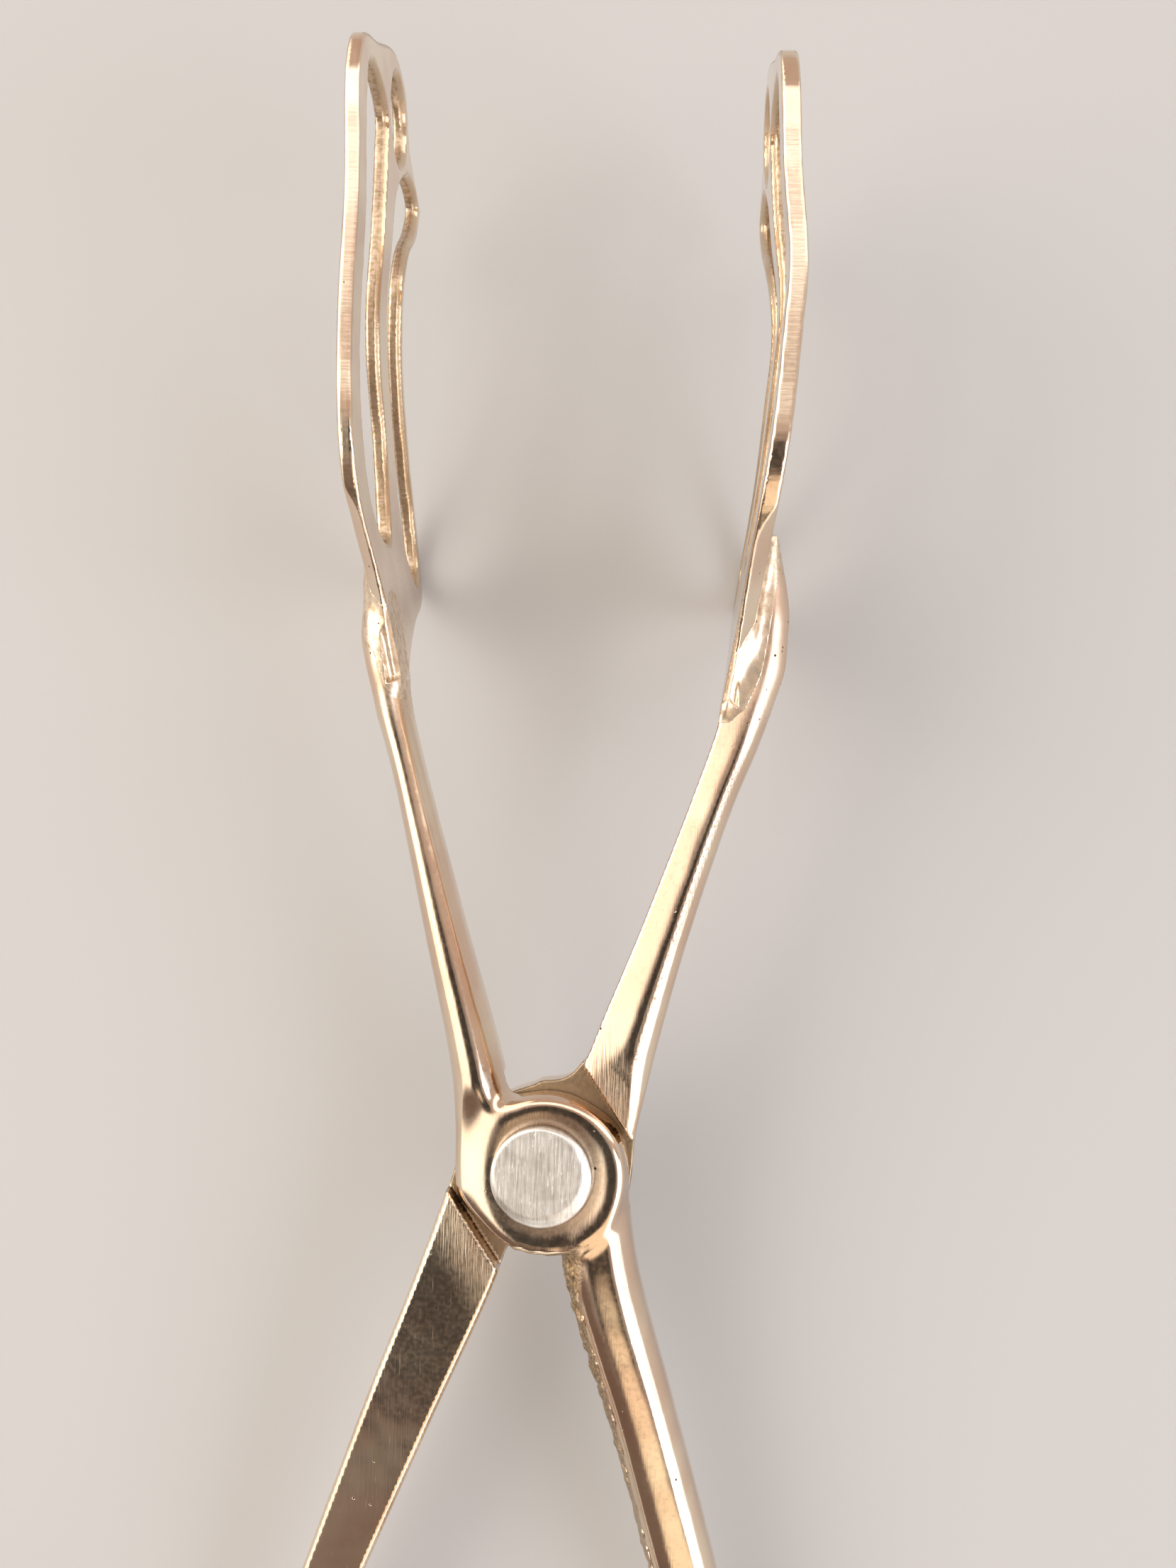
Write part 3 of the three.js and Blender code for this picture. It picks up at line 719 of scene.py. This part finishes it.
def rivet_mesh():
    """Rings of points from one head's middle, round its rim, along the shank, to the other's middle."""
    base = EYE_DISH_DEPTH + 0.02
    face = [(r, None) for r in RIVET_FACE_RINGS]
    side = [(RIVET_RADIUS, base + 0.1), (RIVET_RADIUS - 0.1, base), (RIVET_SHANK_RADIUS, base)]
    profile = face + side
    rings = [(r, z, 1) for r, z in profile] + [(r, z, -1) for r, z in reversed(profile)]
    angles = np.arange(RIVET_SEGMENTS) * 2 * math.pi / RIVET_SEGMENTS
    points = []
    for r, z, end in rings:
        x, y = r * np.cos(angles), r * np.sin(angles)
        height = rivet_top(x, y) if z is None else np.full(len(x), z)
        points.append(np.stack([x, y, height * end], axis=1))
    points = np.vstack(points + [[(0, 0, RIVET_TOP), (0, 0, -RIVET_TOP)]])
    top, bottom = len(points) - 2, len(points) - 1
    faces = []
    for i in range(RIVET_SEGMENTS):
        j = (i + 1) % RIVET_SEGMENTS
        for ring in range(len(rings) - 1):
            a, b = ring * RIVET_SEGMENTS, (ring + 1) * RIVET_SEGMENTS
            faces.append((a + i, b + i, b + j, a + j))
        last = (len(rings) - 1) * RIVET_SEGMENTS
        faces += [(top, i, j), (bottom, last + j, last + i)]
    off_axis = np.hypot(points[:, 0], points[:, 1])
    wobble = RIVET_WOBBLE * value_noise(points * np.array([1, 1, 0.2]), 1.8, 31)
    wobble *= ramp(off_axis, 4.0, 5.0)
    points[:, :2] *= (1 + wobble / np.maximum(off_axis, 1))[:, None]
    return points, faces


# ---- materials -----------------------------------------------------------------------------------

class Nodes:
    """A small helper that adds linked nodes to a tree."""

    def __init__(self, tree):
        self.tree = tree

    def add(self, kind, inputs=None, **settings):
        node = self.tree.nodes.new(kind)
        for key, value in settings.items():
            setattr(node, key, value)
        for key, value in (inputs or {}).items():
            self.put(node.inputs[key], value)
        return node

    def put(self, socket, value):
        if isinstance(value, bpy.types.NodeSocket):
            self.tree.links.new(value, socket)
        else:
            socket.default_value = value

    def zone(self, name):
        return self.add("ShaderNodeAttribute", attribute_name=name).outputs["Fac"]

    def place(self, stretch=(1, 1, 1), turn=0.0):
        """The point in the tool's frame, in millimetres, turned about Z and then stretched."""
        where = self.add("ShaderNodeAttribute", attribute_name="tool_mm").outputs["Vector"]
        turned = self.add(
            "ShaderNodeMapping",
            {"Vector": where, "Rotation": (0, 0, math.radians(turn)), "Scale": stretch},
        )
        return turned.outputs["Vector"]

    def noise(self, vector, scale, detail=2.0, roughness=0.5):
        node = self.add(
            "ShaderNodeTexNoise",
            {"Vector": vector, "Scale": scale, "Detail": detail, "Roughness": roughness},
        )
        return node.outputs["Fac"]

    def math(self, operation, a, b=0.0):
        node = self.add("ShaderNodeMath", operation=operation)
        self.put(node.inputs[0], a)
        self.put(node.inputs[1], b)
        return node.outputs[0]

    def span(self, value, low, high, to_low=0.0, to_high=1.0):
        node = self.add(
            "ShaderNodeMapRange",
            {"Value": value, "From Min": low, "From Max": high, "To Min": to_low, "To Max": to_high},
            interpolation_type="SMOOTHSTEP",
        )
        return node.outputs["Result"]

    def mix(self, factor, a, b):
        node = self.add("ShaderNodeMix", data_type="RGBA")
        self.put(node.inputs["Factor"], factor)
        self.put(node.inputs[6], a)
        self.put(node.inputs[7], b)
        return node.outputs[2]

    def spots(self, vector, scale, size):
        """1 in scattered round spots, 0 elsewhere."""
        cells = self.add("ShaderNodeTexVoronoi", {"Vector": vector, "Scale": scale})
        chosen = self.add("ShaderNodeSeparateColor", {"Color": cells.outputs["Color"]}).outputs["Red"]
        radius = self.math("MULTIPLY", self.span(chosen, 0.6, 1.0), size)
        return self.span(self.math("SUBTRACT", cells.outputs["Distance"], radius), 0.0, -0.04)


def colour(hex_code):
    """A linear colour from an sRGB hex code."""
    channels = [int(hex_code[i:i + 2], 16) / 255 for i in (0, 2, 4)]
    return tuple(c / 12.92 if c <= 0.04045 else ((c + 0.055) / 1.055) ** 2.4 for c in channels) + (1,)


POLISHED = colour("ebdac4")
POLISHED_PINK = colour("e0c6b0")
TARNISH = colour("8b7764")
OLIVE = colour("96825f")
GOLD = colour("c8ae88")
PIT = colour("43362a")
SILVER = colour("ebeae8")
SILVER_SHADE = colour("d6d4d0")
SCORE = colour("8d8a84")
FLOOR_GREY = (0.42, 0.425, 0.435, 1)
BUMP_DEPTH = 0.1            # millimetres that a height of 1 stands for


def new_material(name):
    material = bpy.data.materials.new(name)
    material.use_nodes = True
    material.node_tree.nodes.clear()
    return material, Nodes(material.node_tree)


def finish_metal(nodes, base, roughness, height, strength=1.0):
    """A metal shader, with a bump whose height is in units of BUMP_DEPTH."""
    bump = nodes.add(
        "ShaderNodeBump", {"Height": height, "Strength": strength, "Distance": BUMP_DEPTH * MM}
    )
    shader = nodes.add(
        "ShaderNodeBsdfPrincipled",
        {"Base Color": base, "Metallic": 1.0, "Roughness": roughness, "Normal": bump.outputs["Normal"]},
    )
    nodes.add("ShaderNodeOutputMaterial", {"Surface": shader.outputs["BSDF"]})


def casting_material(name, lean):
    """Polished cast bronze: streaks along the lever, pitted heels, matt lapped faces, rough edges."""
    material, n = new_material(name)
    matte, satin, flash = n.zone("matte"), n.zone("satin"), n.zone("flash")
    pitted, brushed, seam = n.zone("pitted"), n.zone("brushed"), n.zone("seam")
    broad = n.noise(n.place(), 0.12)
    fine = n.noise(n.place(), 2.2, detail=4)
    streak = n.noise(n.place((6, 0.22, 6), lean), 1.0, detail=3)
    scratch = n.span(n.noise(n.place((8, 0.3, 8), lean - 9), 1.0, detail=2), 0.68, 0.76)
    strokes = n.noise(n.place((9, 0.25, 2), 8), 1.0, detail=2)
    grit = n.noise(n.place(), 3.0, detail=5, roughness=0.7)
    pits = n.spots(n.place(), 0.55, 0.1)
    pitted_patches = n.math("MULTIPLY", pitted, n.span(broad, 0.4, 0.55))
    heel_pits = n.math("MULTIPLY", n.spots(n.place(), 1.5, 0.26), pitted_patches)
    all_pits = n.math("MAXIMUM", pits, heel_pits)

    base = n.mix(n.span(broad, 0.35, 0.65), POLISHED, POLISHED_PINK)
    base = n.mix(n.math("MULTIPLY", n.span(fine, 0.55, 0.8), 0.15), base, TARNISH)
    base = n.mix(n.math("MULTIPLY", satin, 0.7), base, TARNISH)
    base = n.mix(n.math("MULTIPLY", matte, 0.85), base, n.mix(fine, TARNISH, OLIVE))
    base = n.mix(flash, base, n.mix(n.span(grit, 0.4, 0.58), TARNISH, GOLD))
    base = n.mix(n.math("MULTIPLY", seam, n.span(grit, 0.5, 0.4)), base, TARNISH)
    base = n.mix(all_pits, base, PIT)

    roughness = n.math("ADD", n.span(fine, 0.3, 0.8, 0.10, 0.18), n.math("MULTIPLY", matte, 0.28))
    for zone, extra in ((satin, 0.14), (flash, 0.14), (brushed, 0.12), (seam, 0.2), (pitted, 0.2)):
        roughness = n.math("ADD", roughness, n.math("MULTIPLY", zone, extra))

    height = n.math("ADD", n.math("MULTIPLY", streak, 0.03), n.math("MULTIPLY", broad, 1.2))
    height = n.math("SUBTRACT", height, n.math("MULTIPLY", scratch, 0.012))
    for zone, pattern, depth in (
        (brushed, strokes, 0.3), (matte, fine, 0.3), (satin, fine, 0.08), (flash, grit, 1.3),
        (seam, grit, 0.5), (pitted, strokes, 0.12),
    ):
        height = n.math("ADD", height, n.math("MULTIPLY", n.math("MULTIPLY", pattern, zone), depth))
    height = n.math("SUBTRACT", height, n.math("MULTIPLY", all_pits, 0.35))
    finish_metal(n, base, roughness, height)
    return material


def jaw_material(name):
    """Polished bronze plate; its openings keep the marks of the file, slanting on the wall and
    straight across on the bevel."""
    material, n = new_material(name)
    filed, bevel, rim, pitted = n.zone("filed"), n.zone("bevel"), n.zone("rim"), n.zone("pitted")
    broad = n.noise(n.place(), 0.15)
    fine = n.noise(n.place(), 2.0, detail=4)
    streak = n.noise(n.place((5, 0.2, 1.0)), 1.0, detail=3)
    slanting = n.noise(n.place((0.5, 4.0, 0.6), 32), 1.0, detail=2)
    straight = n.noise(n.place((0.4, 4.5, 0.6), 3), 1.0, detail=2)
    across = n.noise(n.place((0.5, 3.5, 0.6)), 1.0, detail=3)
    pits = n.spots(n.place(), 0.5, 0.08)
    pitted_patches = n.math("MULTIPLY", pitted, n.span(fine, 0.45, 0.6))
    neck_pits = n.math("MULTIPLY", n.spots(n.place(), 1.3, 0.22), pitted_patches)
    all_pits = n.math("MAXIMUM", pits, neck_pits)

    base = n.mix(n.span(broad, 0.35, 0.65), POLISHED, POLISHED_PINK)
    wall = n.mix(n.span(fine, 0.4, 0.65), n.mix(0.4, POLISHED_PINK, TARNISH), OLIVE)
    base = n.mix(n.math("MULTIPLY", filed, 0.8), base, wall)
    base = n.mix(n.math("MULTIPLY", bevel, 0.5), base, GOLD)
    base = n.mix(all_pits, base, PIT)
    roughness = n.math("ADD", n.span(fine, 0.3, 0.8, 0.08, 0.15), n.math("MULTIPLY", filed, 0.24))
    roughness = n.math("ADD", roughness, n.math("MULTIPLY", rim, 0.08))
    height = n.math("MULTIPLY", streak, 0.02)
    marks = n.mix(bevel, slanting, straight)
    height = n.math("ADD", height, n.math("MULTIPLY", n.math("MULTIPLY", marks, filed), 0.28))
    height = n.math("ADD", height, n.math("MULTIPLY", n.math("MULTIPLY", across, rim), 0.06))
    height = n.math("SUBTRACT", height, n.math("MULTIPLY", all_pits, 0.35))
    finish_metal(n, base, roughness, height)
    return material


def braze_material():
    """Brazing bronze, wiped smooth and a little yellower than the castings, with a few pits."""
    material, n = new_material("pitted_braze")
    fine = n.noise(n.place(), 1.2, detail=4, roughness=0.6)
    pits = n.math("MULTIPLY", n.spots(n.place(), 1.4, 0.26), n.span(fine, 0.45, 0.55))
    base = n.mix(n.span(fine, 0.4, 0.7), POLISHED, n.mix(0.45, POLISHED_PINK, OLIVE))
    base = n.mix(pits, base, PIT)
    roughness = n.span(fine, 0.3, 0.7, 0.30, 0.42)
    height = n.math("SUBTRACT", n.math("MULTIPLY", fine, 0.22), n.math("MULTIPLY", pits, 0.5))
    finish_metal(n, base, roughness, height)
    return material


def rivet_material():
    """Aluminium filed in one direction, a little off the tool's own, with short dark scores."""
    material, n = new_material("filed_aluminium")
    grain = n.noise(n.place((4.5, 0.22, 1.0), -10), 1.0, detail=4, roughness=0.6)
    scores = n.noise(n.place((7.0, 0.5, 1.0), -6), 1.0, detail=2)
    blotch = n.noise(n.place(), 0.7, detail=3)
    base = n.mix(n.span(blotch, 0.35, 0.7), SILVER, SILVER_SHADE)
    base = n.mix(n.math("MULTIPLY", n.span(scores, 0.68, 0.76), 0.6), base, SCORE)
    roughness = n.span(grain, 0.3, 0.7, 0.34, 0.46)
    height = n.math("SUBTRACT", n.math("MULTIPLY", grain, 0.42), n.span(scores, 0.68, 0.76, 0, 0.25))
    finish_metal(n, base, roughness, height, 0.9)
    return material


def floor_material():
    material, n = new_material("pale_floor")
    shader = n.add("ShaderNodeBsdfPrincipled", {"Base Color": FLOOR_GREY, "Roughness": 0.85})
    n.add("ShaderNodeOutputMaterial", {"Surface": shader.outputs["BSDF"]})
    return material


# ---- pieces --------------------------------------------------------------------------------------

# For each lever: its jaw, how far its polishing runs off Y in degrees, and the corners of its mesh's box.
HALVES = {
    "lower": ("right", 18, (-61.5, -108, -5.2), (27, 68, 3.6)),
    "upper": ("left", -16, (-26, -108, -3.0), (54.5, 66, 5.2)),
}
BLADE_BOX_Y, BLADE_BOX_Z = (45, 119), (-26, 16)
BRAZE_BOX_Y, BRAZE_BOX_Z = (44, 70), (-9, 9)


def build_pieces():
    braze_finish = braze_material()
    for name, (side, lean, low, high) in HALVES.items():
        lever, jaw, body = LEVERS[name], JAWS[side], f"{name}_half"
        points, quads, normals = surface_mesh(lever_with_seat(lever, jaw), low, high, LEVER_STEP)
        add_mesh(
            f"{name}_lever_casting", points, quads, normals, lever.zones(points),
            casting_material(f"{name}_lever_bronze", lean), body, f"{name}_lever",
        )
        low, high = zip(jaw.span_x, BLADE_BOX_Y, BLADE_BOX_Z)
        points, quads, normals = surface_mesh(jaw.field, low, high, BLADE_STEP)
        add_mesh(
            f"{side}_pierced_jaw", points, quads, normals, jaw.zones(points),
            jaw_material(f"{side}_jaw_bronze"), body, f"{side}_blade",
        )
        low, high = zip(jaw.span_x, BRAZE_BOX_Y, BRAZE_BOX_Z)
        points, quads, normals = surface_mesh(braze_field(lever, jaw), low, high, BRAZE_STEP)
        add_mesh(
            f"{side}_jaw_fillet", points, quads, normals, {}, braze_finish, body,
            f"{side}_blade_braze",
        )
    points, faces = rivet_mesh()
    add_mesh(
        "filed_rivet", points, faces, None, {}, rivet_material(), "lower_half", "pivot_rivet",
    )


build_pieces()


# ---- floor, light and camera ---------------------------------------------------------------------

FLOOR_HALF = 6.0            # metres


def add_floor():
    mesh = bpy.data.meshes.new("floor")
    corners = [(x * FLOOR_HALF, y * FLOOR_HALF, 0) for x, y in ((-1, -1), (1, -1), (1, 1), (-1, 1))]
    mesh.from_pydata(corners, [], [(0, 1, 2, 3)])
    mesh.materials.append(floor_material())
    floor = bpy.data.objects.new("floor", mesh)
    bpy.context.scene.collection.objects.link(floor)


def add_softbox(name, azimuth, elevation, distance, width, height, watts, tint):
    """An area light that faces the tool from a direction given in degrees: azimuth from +X towards +Y."""
    a, e = math.radians(azimuth), math.radians(elevation)
    away = Vector((math.cos(a) * math.cos(e), math.sin(a) * math.cos(e), math.sin(e)))
    light = bpy.data.lights.new(name, "AREA")
    light.shape = "RECTANGLE"
    light.size, light.size_y = width, height
    light.energy = watts
    light.color = colour(tint)[:3]
    lamp = bpy.data.objects.new(name, light)
    lamp.location = away * distance
    lamp.rotation_euler = away.to_track_quat("Z", "Y").to_euler()
    bpy.context.scene.collection.objects.link(lamp)


BACKDROP = ("cfccc8", 1.0)  # what shows past the floor's edge
ROOM = ("b8aca4", 0.8)
OVERHEAD = ("4d4945", 0.8)  # the dark patch where the camera hangs
OVERHEAD_AT, OVERHEAD_FULL, OVERHEAD_EDGE = (0.02, -0.20, 0), 0.23, 0.30
# Windows and dark walls: colour, strength, then each bound's axis, where it begins and where it is full.
PATCHES = [
    ("d6bfb0", 0.95, ("Y", 0.04, 0.16)),
    ("8f786c", 0.75, ("Y", -0.36, -0.5)),
    ("f8e2c4", 1.5, ("Y", -0.33, -0.39), ("X", -0.08, 0.0)),
    ("58524d", 0.8, ("Y", -0.68, -0.76), ("X", 0.3, 0.2), ("X", -0.3, -0.2)),
    ("fff3e2", 2.0, ("X", -0.24, -0.36), ("Y", -0.42, -0.30)),
    ("fcfbff", 2.2, ("X", 0.46, 0.58), ("Y", 0.08, -0.04)),
    ("fff8f2", 2.1, ("Y", 0.30, 0.34), ("Y", 0.76, 0.60)),
    ("fff6ea", 1.8, ("Y", -0.86, -0.91)),
]


def add_world():
    """A soft room with windows on both sides, in front and low behind, in the tool's frame."""
    world = bpy.data.worlds.new("room")
    world.use_nodes = True
    world.node_tree.nodes.clear()
    n = Nodes(world.node_tree)
    direction = n.add("ShaderNodeTexCoord").outputs["Generated"]
    tilt = TOOL.to_euler().x
    turned = n.add(
        "ShaderNodeVectorRotate", {"Vector": direction, "Angle": -tilt}, rotation_type="X_AXIS"
    )
    parts = n.add("ShaderNodeSeparateXYZ", {"Vector": turned.outputs["Vector"]}).outputs

    def radiance(tint, strength):
        return tuple(c * strength for c in colour(tint)[:3]) + (1,)

    flat = n.add("ShaderNodeCombineXYZ", {"X": parts["X"], "Y": parts["Y"]}).outputs["Vector"]
    away = n.add("ShaderNodeVectorMath", operation="DISTANCE")
    n.put(away.inputs[0], flat)
    n.put(away.inputs[1], OVERHEAD_AT)
    overhead = n.span(away.outputs["Value"], OVERHEAD_EDGE, OVERHEAD_FULL)
    overhead = n.math("MULTIPLY", overhead, n.span(parts["Z"], 0.3, 0.6))
    room = n.mix(overhead, radiance(*ROOM), radiance(*OVERHEAD))
    for tint, strength, *bounds in PATCHES:
        mask = 1.0
        for axis, start, full in bounds:
            mask = n.math("MULTIPLY", mask, n.span(parts[axis], start, full))
        room = n.mix(mask, room, radiance(tint, strength))
    seen = n.add("ShaderNodeLightPath").outputs["Is Camera Ray"]
    room = n.mix(seen, room, radiance(*BACKDROP))
    background = n.add("ShaderNodeBackground", {"Color": room, "Strength": 1.0})
    n.add("ShaderNodeOutputWorld", {"Surface": background.outputs["Background"]})
    bpy.context.scene.world = world


CAMERA_PLACE = (11.41, 39.6, 156.67)    # in the tool's frame, in millimetres
CAMERA_LEAN = 0.05116                   # how far the view leans from straight down, as a slope to the left
CAMERA_ROLL = math.radians(1.6)
CAMERA_LENS = 35.15                     # for a sensor whose long side is 36 mm


def add_camera():
    """The tool's axes as the camera sees them, x right, y down and z into the picture, give the
    camera's own axes."""
    into_floor = Vector((CAMERA_LEAN, 0, 1)).normalized()
    z_seen = -into_floor
    upward = Vector((math.sin(CAMERA_ROLL), -math.cos(CAMERA_ROLL), 0))
    y_seen = (upward - into_floor * upward.dot(into_floor)).normalized()
    x_seen = y_seen.cross(z_seen)
    seen = Matrix((x_seen, y_seen, z_seen)).transposed()
    right, down, forward = seen.row
    axes = Matrix((right, -down, -forward)).transposed().to_4x4()
    data = bpy.data.cameras.new("camera")
    data.sensor_width = 36
    data.lens = CAMERA_LENS
    data.clip_start = 0.005
    camera = bpy.data.objects.new("camera", data)
    bpy.context.scene.collection.objects.link(camera)
    camera.matrix_world = TOOL @ Matrix.Translation(Vector(CAMERA_PLACE) * MM) @ axes
    bpy.context.scene.camera = camera


add_floor()
add_world()
add_softbox(
    "window_left", azimuth=172, elevation=40, distance=0.8, width=0.6, height=0.5, watts=3.2,
    tint="fff3e4",
)
add_softbox(
    "window_right", azimuth=-20, elevation=36, distance=0.8, width=0.4, height=0.36, watts=1.6,
    tint="f6f7ff",
)
bpy.context.scene.view_settings.view_transform = "Standard"
add_camera()
